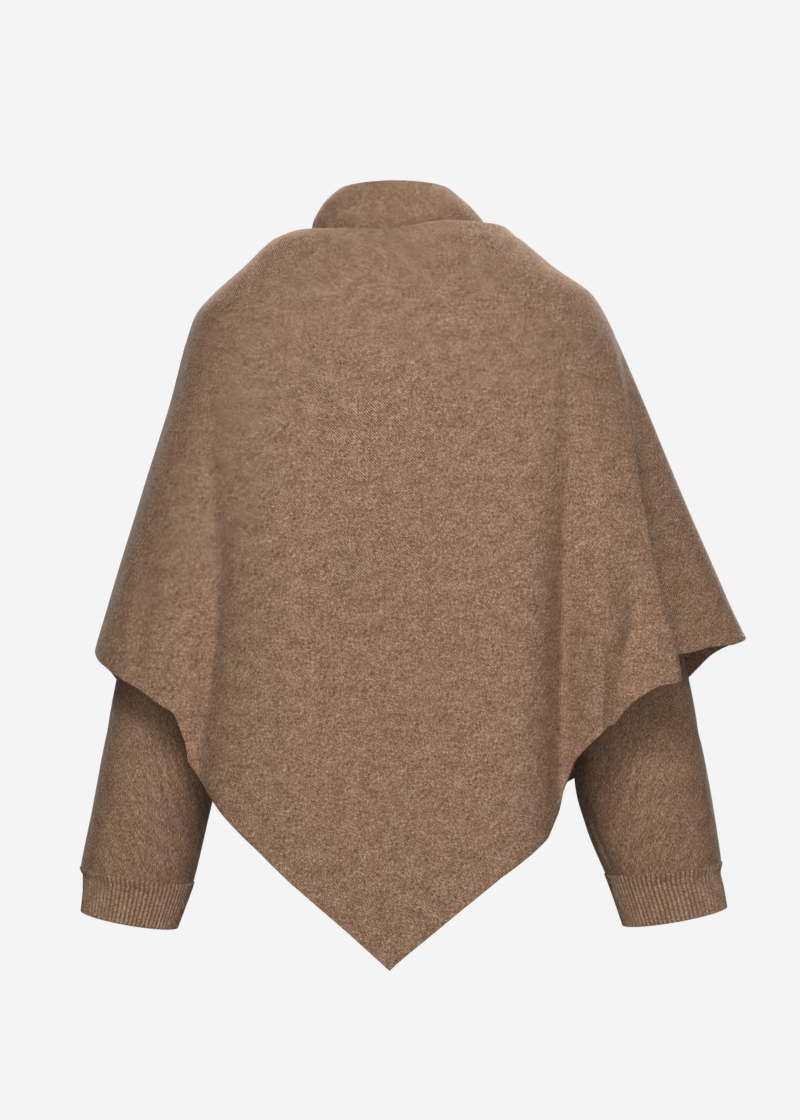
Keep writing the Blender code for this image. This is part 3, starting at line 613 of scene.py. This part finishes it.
def armhole_loop(bend, side):
    """Where a sleeve's top edge lies on the inner body. bend is 0 at the shoulder's top."""
    share = 1 + SLEEVE_LAP / ARMHOLE_HALF_HEIGHT
    height = ARMHOLE_MIDDLE_Z + ARMHOLE_HALF_HEIGHT * share * np.cos(bend)
    turn = side * (SIDE_TURN + (ARMHOLE_HALF_TURN + SLEEVE_LAP_TURN) * np.sin(bend))
    down = body_down(height)
    along = (body_point(turn + ARMHOLE_TURN_STEP, down)
             - body_point(turn - ARMHOLE_TURN_STEP, down))
    downward = (body_point(turn, down + ARMHOLE_ROW_STEP)
                - body_point(turn, down - ARMHOLE_ROW_STEP))
    return body_point(turn, down) + unit(np.cross(downward, along)) * SLEEVE_LIFT


def arm_ring(rows, bend, down, side, wall):
    """A ring round an arm. bend is 0 at its outer point and 90 degrees at its front."""
    out_x, out_z, in_x, in_z, forward, half_deep = (
        by_row(rows, name, down) for name in ARM_NAMES.split())
    reach = np.cos(bend) * (1 - wall / np.hypot(out_x - in_x, out_z - in_z))
    x = (out_x + in_x) / 2 + (out_x - in_x) / 2 * reach
    z = (out_z + in_z) / 2 + (out_z - in_z) / 2 * reach
    return np.stack((side * x, forward + (half_deep - wall / 2) * np.sin(bend), z), axis=-1)


def arm_points(rows, side, columns, down, wall):
    """The middle of the cloth of a tube round an arm, whose top edge follows the armhole."""
    bend = np.linspace(0, 2 * math.pi, columns + 1)
    bend, down = np.meshgrid(bend, down)
    blend = ramp(down, 0, SLEEVE_LOOP_ROWS)[..., None]
    return armhole_loop(bend, side) * (1 - blend) + arm_ring(rows, bend, down, side, wall) * blend


def creased(points, creases):
    """Presses soft creases into a sleeve."""
    bend = np.linspace(0, 360, points.shape[1])[None, :]
    raised = np.zeros(points.shape[:2])
    for crease in each_row(creases):
        turned = (bend - crease["bend"] + 180) % 360 - 180
        across, up = np.radians(turned) * ARM_RADIUS, points[..., 2] - crease["z"]
        slant = math.radians(crease["slant"])
        along = across * math.cos(slant) + up * math.sin(slant)
        aside = (up * math.cos(slant) - across * math.sin(slant)) / crease["width"]
        shape = np.exp(CREASE_ROUND - np.hypot(aside, CREASE_ROUND))
        faded = 1 - ramp(abs(along), CREASE_FULL * crease["length"], crease["length"])
        raised += crease["height"] * shape * faded
    middle = points[:, :-1].mean(axis=1, keepdims=True)
    return points + unit(points - middle) * raised[..., None]


def flat_lengths(points, middle):
    """How far each point lies along and down its cloth from column middle of the first row."""
    across = lengths_along(points, 1)
    return np.stack((across - across[:, middle:middle + 1], -lengths_along(points, 0)), axis=-1)


def knit_shell(name, points, flat, wall, material, slot, tube=False, flip=False):
    """Makes a sheet of cloth through the points, with a UV map of its flat lengths."""
    rows, columns = points.shape[:2]
    mesh = bmesh.new()
    # The grid is 1 wide and long, so a vertex's place in it gives its column and its row
    bmesh.ops.create_grid(mesh, x_segments=columns - 1, y_segments=rows - 1, size=0.5)
    place = np.array([vert.co for vert in mesh.verts])
    across = np.rint((place[:, 0] + 0.5) * (columns - 1)).astype(int)
    down = np.rint((0.5 - place[:, 1]) * (rows - 1)).astype(int)
    for vert, point in zip(mesh.verts, points[down, across]):
        vert.co = point
    cloth_map = mesh.loops.layers.uv.new("cloth")
    lengths = flat[down, across]
    mesh.verts.index_update()
    for face in mesh.faces:
        face.smooth = True
        for loop in face.loops:
            loop[cloth_map].uv = lengths[loop.vert.index]
    if tube:
        bmesh.ops.remove_doubles(mesh, verts=mesh.verts, dist=JOIN_WITHIN)
    if flip:
        bmesh.ops.reverse_faces(mesh, faces=mesh.faces)
    data = bpy.data.meshes.new(name)
    mesh.to_mesh(data)
    mesh.free()
    data.materials.append(material)
    piece = bpy.data.objects.new(name, data)
    bpy.context.scene.collection.objects.link(piece)
    shell = piece.modifiers.new("thickness", "SOLIDIFY")
    shell.thickness = wall
    shell.offset = 0.0
    edge = piece.modifiers.new("soft edge", "BEVEL")
    edge.width = wall * EDGE_SHARE
    edge.segments = EDGE_SEGMENTS
    edge.limit_method = "ANGLE"
    edge.angle_limit = math.radians(EDGE_ANGLE)
    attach(piece, "root")
    return piece


def add_node(tree, kind, inputs=None, **settings):
    """Adds a node with its settings, and fills its sockets with values or links."""
    item = tree.nodes.new(kind)
    for name, value in settings.items():
        setattr(item, name, value)
    for name, value in (inputs or {}).items():
        if isinstance(value, bpy.types.NodeSocket):
            tree.links.new(value, item.inputs[name])
        else:
            item.inputs[name].default_value = value
    return item


def felted_knit(name, colours, wale, wale_turn, wale_low=0.55, wale_high=1.0,
                wale_shade_faintest=0.30, wale_waver=1.3, wale_shading=0.45,
                flecks_per_metre=LONG_FLECKS, grain_range=0.34):
    """Felted fine-gauge lambswool in a melange yarn, milled after knitting.

    The milling pulls a short nap over the wales, so they show as faint lines, raised in the relief
    and painted into the colour as shade, dark in their valleys and pale on their crests. The
    surface is matt with a pale bloom where it turns away, and each stitch is a blur of pale and
    dark fibre.
    The wales show by wale_low where they are felted most and by wale_high where least.
    """
    material = bpy.data.materials.new(name)
    material.use_nodes = True
    tree = material.node_tree
    tree.nodes.clear()

    cloth = add_node(tree, "ShaderNodeUVMap", uv_map="cloth").outputs["UV"]
    turned = add_node(tree, "ShaderNodeMapping", {
        "Vector": cloth, "Rotation": (0, 0, math.radians(wale_turn))}).outputs["Vector"]

    # Wales: one full wave for each wale of real width
    wales = add_node(tree, "ShaderNodeTexWave", {
        "Vector": turned, "Scale": math.pi / (10 * wale), "Distortion": wale_waver, "Detail": 3.0,
        "Detail Scale": 0.9, "Detail Roughness": 0.6}, bands_direction="X").outputs["Fac"]
    # Felting is uneven, so it hides them in patches
    felting = add_node(tree, "ShaderNodeTexNoise", {
        "Vector": cloth, "Scale": FELTING_PER_METRE, "Detail": 3.0,
        "Roughness": 0.6}).outputs["Fac"]
    patches = add_node(tree, "ShaderNodeMapRange", {
        "Value": felting, "From Min": 0.35, "From Max": 0.65, "To Min": wale_low,
        "To Max": wale_high}).outputs["Result"]
    # and their painted shade and relief fade towards the hem and the right, where the light brings
    # them out less
    reach = add_node(tree, "ShaderNodeVectorMath", {
        0: cloth, 1: WALE_SHADE_FADE_WAY}, operation="DOT_PRODUCT").outputs["Value"]
    wale_shade_fade = add_node(tree, "ShaderNodeMapRange", {
        "Value": reach, "From Min": WALE_SHADE_FADE_FROM, "From Max": WALE_SHADE_FADE_TO, "To Min": WALE_SHADE_FULLEST,
        "To Max": wale_shade_faintest}).outputs["Result"]
    showing = add_node(tree, "ShaderNodeMath", {
        0: patches, 1: wale_shade_fade}, operation="MULTIPLY").outputs[0]
    wave = add_node(tree, "ShaderNodeMath", {0: wales, 1: 0.5}, operation="SUBTRACT").outputs[0]
    wale_lines = add_node(tree, "ShaderNodeMath", {
        0: wave, 1: showing}, operation="MULTIPLY").outputs[0]

    # Flecks, nap, clouds and drifts, each with its counts to a metre, roughness and share
    across_and_along = add_node(tree, "ShaderNodeMapping", {
        "Vector": turned, "Scale": (*flecks_per_metre, 1.0)}).outputs["Vector"]
    shades = []
    total = 0.0
    for vector, per_metre, roughness, share in (
            (across_and_along, 1.0, 0.6, 1.0), (cloth, NAP_PER_METRE, 0.6, 1.0),
            (cloth, CLOUDS_PER_METRE, 0.5, CLOUD_SHARE),
            (cloth, DRIFTS_PER_METRE, 0.5, DRIFT_SHARE)):
        pattern = add_node(tree, "ShaderNodeTexNoise", {
            "Vector": vector, "Scale": per_metre, "Detail": 2.0,
            "Roughness": roughness}).outputs["Fac"]
        centred = add_node(tree, "ShaderNodeMath", {
            0: pattern, 1: 0.5}, operation="SUBTRACT").outputs[0]
        total = add_node(tree, "ShaderNodeMath", {
            0: centred, 1: share, 2: total}, operation="MULTIPLY_ADD").outputs[0]
        shades.append(total)
    relief, yarn = shades[2], shades[3]

    # Painted shade of the wales, darker in their valleys and paler on their crests by
    # wale_shading, on the yarn's own random tone
    shade = add_node(tree, "ShaderNodeMath", {
        0: wale_lines, 1: wale_shading, 2: yarn}, operation="MULTIPLY_ADD").outputs[0]
    blend = add_node(tree, "ShaderNodeMapRange", {
        "Value": shade, "From Min": -grain_range, "From Max": grain_range}).outputs["Result"]
    melange = add_node(tree, "ShaderNodeValToRGB", {"Fac": blend})
    stops = melange.color_ramp.elements
    stops[0].color = (*colours.dark_fibre, 1.0)
    stops[1].color = (*colours.pale_fibre, 1.0)
    stops.new(0.5).color = (*colours.wool, 1.0)

    # The drifts are in the yarn's colour alone and raise nothing
    height = add_node(tree, "ShaderNodeMath", {
        0: wale_lines, 1: WALE_RELIEF, 2: relief}, operation="MULTIPLY_ADD").outputs[0]
    bump = add_node(tree, "ShaderNodeBump", {
        "Height": height, "Strength": 0.5, "Distance": NAP_HEIGHT}).outputs["Normal"]
    shader = add_node(tree, "ShaderNodeBsdfPrincipled", {
        "Base Color": melange.outputs["Color"], "Roughness": 0.95, "Specular IOR Level": 0.08,
        "Sheen Weight": 0.40, "Sheen Roughness": 0.20, "Sheen Tint": (*colours.bloom, 1.0),
        "Normal": bump})
    add_node(tree, "ShaderNodeOutputMaterial", {"Surface": shader.outputs["BSDF"]})
    return material


class PONCHO_OT_stage(bpy.types.Operator):
    """Sets up the camera, the paper floor and the soft light"""

    bl_idname = "poncho.stage"
    bl_label = "Studio"

    def execute(self, context):
        scene = context.scene
        camera = bpy.data.cameras.new("camera")
        camera.lens = CAMERA_LENS
        camera.sensor_fit = "VERTICAL"
        camera.sensor_height = CAMERA_SENSOR
        holder = bpy.data.objects.new("camera", camera)
        holder.location = CAMERA_PLACE
        holder.rotation_euler = (math.pi / 2, 0, 0)
        scene.collection.objects.link(holder)
        scene.camera = holder
        scene.view_settings.view_transform = "Standard"
        make_floor(scene.poncho_colours)
        make_lights(scene)
        return {"FINISHED"}


def make_floor(colours):
    """A wide floor of studio paper, which the room continues in the same shade."""
    mesh = bmesh.new()
    bmesh.ops.create_grid(mesh, x_segments=1, y_segments=1, size=FLOOR_HALF_WIDTH)
    bmesh.ops.translate(mesh, verts=mesh.verts, vec=(0, 0, FLOOR_Z))
    data = bpy.data.meshes.new("paper_floor")
    mesh.to_mesh(data)
    mesh.free()

    # Seamless background paper, matt and lit until it is almost white
    paper = bpy.data.materials.new("matt_background_paper")
    paper.use_nodes = True
    tree = paper.node_tree
    tree.nodes.clear()
    shader = add_node(tree, "ShaderNodeBsdfPrincipled", {
        "Base Color": (*linear("000000"), 1.0), "Roughness": 1.0, "Specular IOR Level": 0.0,
        "Emission Color": (*colours.paper, 1.0), "Emission Strength": PAPER_GLOW})
    add_node(tree, "ShaderNodeOutputMaterial", {"Surface": shader.outputs["BSDF"]})
    data.materials.append(paper)
    floor = bpy.data.objects.new("paper_floor", data)
    floor.visible_diffuse = False
    floor.visible_glossy = False
    bpy.context.scene.collection.objects.link(floor)


def make_lights(scene):
    """Soft boxes round the garment, and a little light from all round."""
    for name, place, size, power in LIGHTS:
        light = bpy.data.lights.new(name, "AREA")
        light.shape = "SQUARE"
        light.size = size
        light.energy = power
        holder = bpy.data.objects.new(name, light)
        holder.location = place
        direction = np.array(LIGHT_AIM) - np.array(place)
        pitch = math.atan2(math.hypot(direction[0], direction[1]), -direction[2])
        holder.rotation_euler = (pitch, 0, math.atan2(-direction[0], direction[1]))
        holder.visible_camera = False
        scene.collection.objects.link(holder)
    # The camera sees the room as bright as the floor, whatever light it gives
    world = bpy.data.worlds.new("pale_room")
    world.use_nodes = True
    tree = world.node_tree
    seen = add_node(tree, "ShaderNodeLightPath").outputs["Is Camera Ray"]
    strength = add_node(tree, "ShaderNodeMapRange", {
        "Value": seen, "To Min": ROOM_LIGHT, "To Max": PAPER_GLOW}).outputs["Result"]
    background = tree.nodes["Background"]
    background.inputs["Color"].default_value = (*scene.poncho_colours.paper, 1.0)
    tree.links.new(strength, background.inputs["Strength"])
    scene.world = world


class PONCHO_OT_cape(bpy.types.Operator):
    """Makes the back and the front of the cape"""

    bl_idname = "poncho.cape"
    bl_label = "Cape"

    def execute(self, context):
        sizes, colours = context.scene.poncho_sizes, context.scene.poncho_colours
        # Cut as a square and hung by a corner, so its wales run down to the right
        knit = felted_knit("felted_lambswool_on_the_bias", colours, sizes.wale, -45.0)
        half_wall = sizes.wall / 2
        back = knit_shell("cape_back_knit", *cape_points(BACK_COLUMNS, BACK_ROWS, half_wall),
                          sizes.wall, knit, "felted_knit")
        front = knit_shell("cape_front_knit", *cape_points(FRONT_COLUMNS, FRONT_ROWS, half_wall),
                           sizes.wall, knit, "felted_knit")
        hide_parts("cape_back")
        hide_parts("cape_front")
        return {"FINISHED"}


class PONCHO_OT_collar(bpy.types.Operator):
    """Makes the funnel collar"""

    bl_idname = "poncho.collar"
    bl_label = "Collar"

    def execute(self, context):
        sizes, colours = context.scene.poncho_sizes, context.scene.poncho_colours
        # The cape's cloth round the neck, with fainter painted shade on its wales
        knit = felted_knit("felted_lambswool_of_the_collar", colours, sizes.wale, -45.0,
                           wale_shading=0.35)
        points = collar_points()
        collar = knit_shell("collar_knit", points, flat_lengths(points, COLLAR_COLUMNS // 2),
                            sizes.wall, knit, "felted_knit", tube=True)
        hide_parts("collar")
        return {"FINISHED"}


class PONCHO_OT_body(bpy.types.Operator):
    """Makes the back and the front of the inner body"""

    bl_idname = "poncho.body"
    bl_label = "Inner body"

    def execute(self, context):
        sizes, colours = context.scene.poncho_sizes, context.scene.poncho_colours
        # The same yarn cut straight, felted until the wales hardly show and the flecks are short
        knit = felted_knit("felted_lambswool_of_the_body", colours, sizes.wale, 0.0,
                           wale_low=0.0, wale_high=0.3, flecks_per_metre=SHORT_FLECKS)
        for name, middle in (("body_back", 0), ("body_front", 180)):
            points = body_points(middle)
            half = knit_shell(name + "_knit", points, flat_lengths(points, BODY_COLUMNS // 2),
                              sizes.wall, knit, "felted_knit")
            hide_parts(name)
        return {"FINISHED"}


class PONCHO_OT_sleeves(bpy.types.Operator):
    """Makes the two sleeves"""

    bl_idname = "poncho.sleeves"
    bl_label = "Sleeves"

    def execute(self, context):
        sizes, colours = context.scene.poncho_sizes, context.scene.poncho_colours
        # As the body's, with upright wales that hardly show
        knit = felted_knit("felted_lambswool_of_the_sleeves", colours, sizes.wale, 0.0,
                           wale_low=0.0, wale_high=0.3, flecks_per_metre=SHORT_FLECKS)
        down = np.linspace(0, SEAM_ROW, SLEEVE_ROWS)
        for name, side, rows, creases in (("left", -1, ARM_LEFT, CREASES_LEFT),
                                          ("right", 1, ARM_RIGHT, CREASES_RIGHT)):
            points = creased(arm_points(rows, side, SLEEVE_COLUMNS, down, sizes.wall), creases)
            # The map counts from the back of the arm, three quarters of the way round
            flat = flat_lengths(points, SLEEVE_COLUMNS * 3 // 4)
            sleeve = knit_shell("sleeve_knit_" + name, points, flat, sizes.wall,
                                knit, "felted_knit", tube=True, flip=side < 0)
            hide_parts("sleeve_" + name)
        return {"FINISHED"}


class PONCHO_OT_cuffs(bpy.types.Operator):
    """Makes the two ribbed cuffs"""

    bl_idname = "poncho.cuffs"
    bl_label = "Ribbed cuffs"

    def execute(self, context):
        sizes, colours = context.scene.poncho_sizes, context.scene.poncho_colours
        # A 1x1 rib, felted as the sleeves are: straight ribs with painted shade, pale on the
        # crests and dark in the valleys between
        knit = felted_knit("felted_lambswool_rib", colours, RIB_PITCH, 0.0, wale_low=1.0,
                           wale_shade_faintest=0.8, wale_waver=0.0, wale_shading=0.36,
                           flecks_per_metre=SHORT_FLECKS, grain_range=0.45)
        columns = sizes.ribs * POINTS_PER_RIB
        for name, side, rows in (("left", -1, ARM_LEFT), ("right", 1, ARM_RIGHT)):
            down = np.linspace(SEAM_ROW, len(rows["out_x"]) - 1, CUFF_ROWS)
            points = arm_points(rows, side, columns, down, sizes.wall)
            middle = points.mean(axis=1, keepdims=True)
            wave = 0.5 + 0.5 * np.cos(2 * math.pi * np.arange(columns + 1) / POINTS_PER_RIB)
            points = points + unit(points - middle) * (sizes.rib_height * wave)[None, :, None]
            # The map counts ribs, so that the painted shade is pale on each rib's crest and dark
            # in each valley
            flat = flat_lengths(points, 0)
            flat[..., 0] = (np.arange(columns + 1) / POINTS_PER_RIB + 0.5) * RIB_PITCH
            cuff = knit_shell("cuff_rib_" + name, points, flat, sizes.wall, knit,
                              "ribbed_knit", tube=True, flip=side < 0)
            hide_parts("cuff_" + name)
        return {"FINISHED"}


OPERATORS = (PONCHO_OT_stage, PONCHO_OT_cape, PONCHO_OT_collar, PONCHO_OT_body,
             PONCHO_OT_sleeves, PONCHO_OT_cuffs)


class PONCHO_PT_pieces(bpy.types.Panel):
    """Lists the pieces of the poncho"""

    bl_idname = "PONCHO_PT_pieces"
    bl_label = "Poncho"
    bl_space_type = "VIEW_3D"
    bl_region_type = "UI"
    bl_category = "Poncho"

    def draw(self, context):
        for group in (context.scene.poncho_sizes, context.scene.poncho_colours):
            for name in group.__annotations__:
                self.layout.prop(group, name)
        for operator in OPERATORS:
            self.layout.operator(operator.bl_idname)


CLASSES = (PonchoSizes, PonchoColours, *OPERATORS, PONCHO_PT_pieces)


def register():
    for item in CLASSES:
        bpy.utils.register_class(item)
    bpy.types.Scene.poncho_sizes = bpy.props.PointerProperty(type=PonchoSizes)
    bpy.types.Scene.poncho_colours = bpy.props.PointerProperty(type=PonchoColours)


def unregister():
    del bpy.types.Scene.poncho_colours
    del bpy.types.Scene.poncho_sizes
    for item in reversed(CLASSES):
        bpy.utils.unregister_class(item)


def main():
    """Makes every piece."""
    register()
    bpy.ops.poncho.stage()
    bpy.ops.poncho.cape()
    bpy.ops.poncho.collar()
    bpy.ops.poncho.body()
    bpy.ops.poncho.sleeves()
    bpy.ops.poncho.cuffs()


if __name__ == "__main__":
    main()
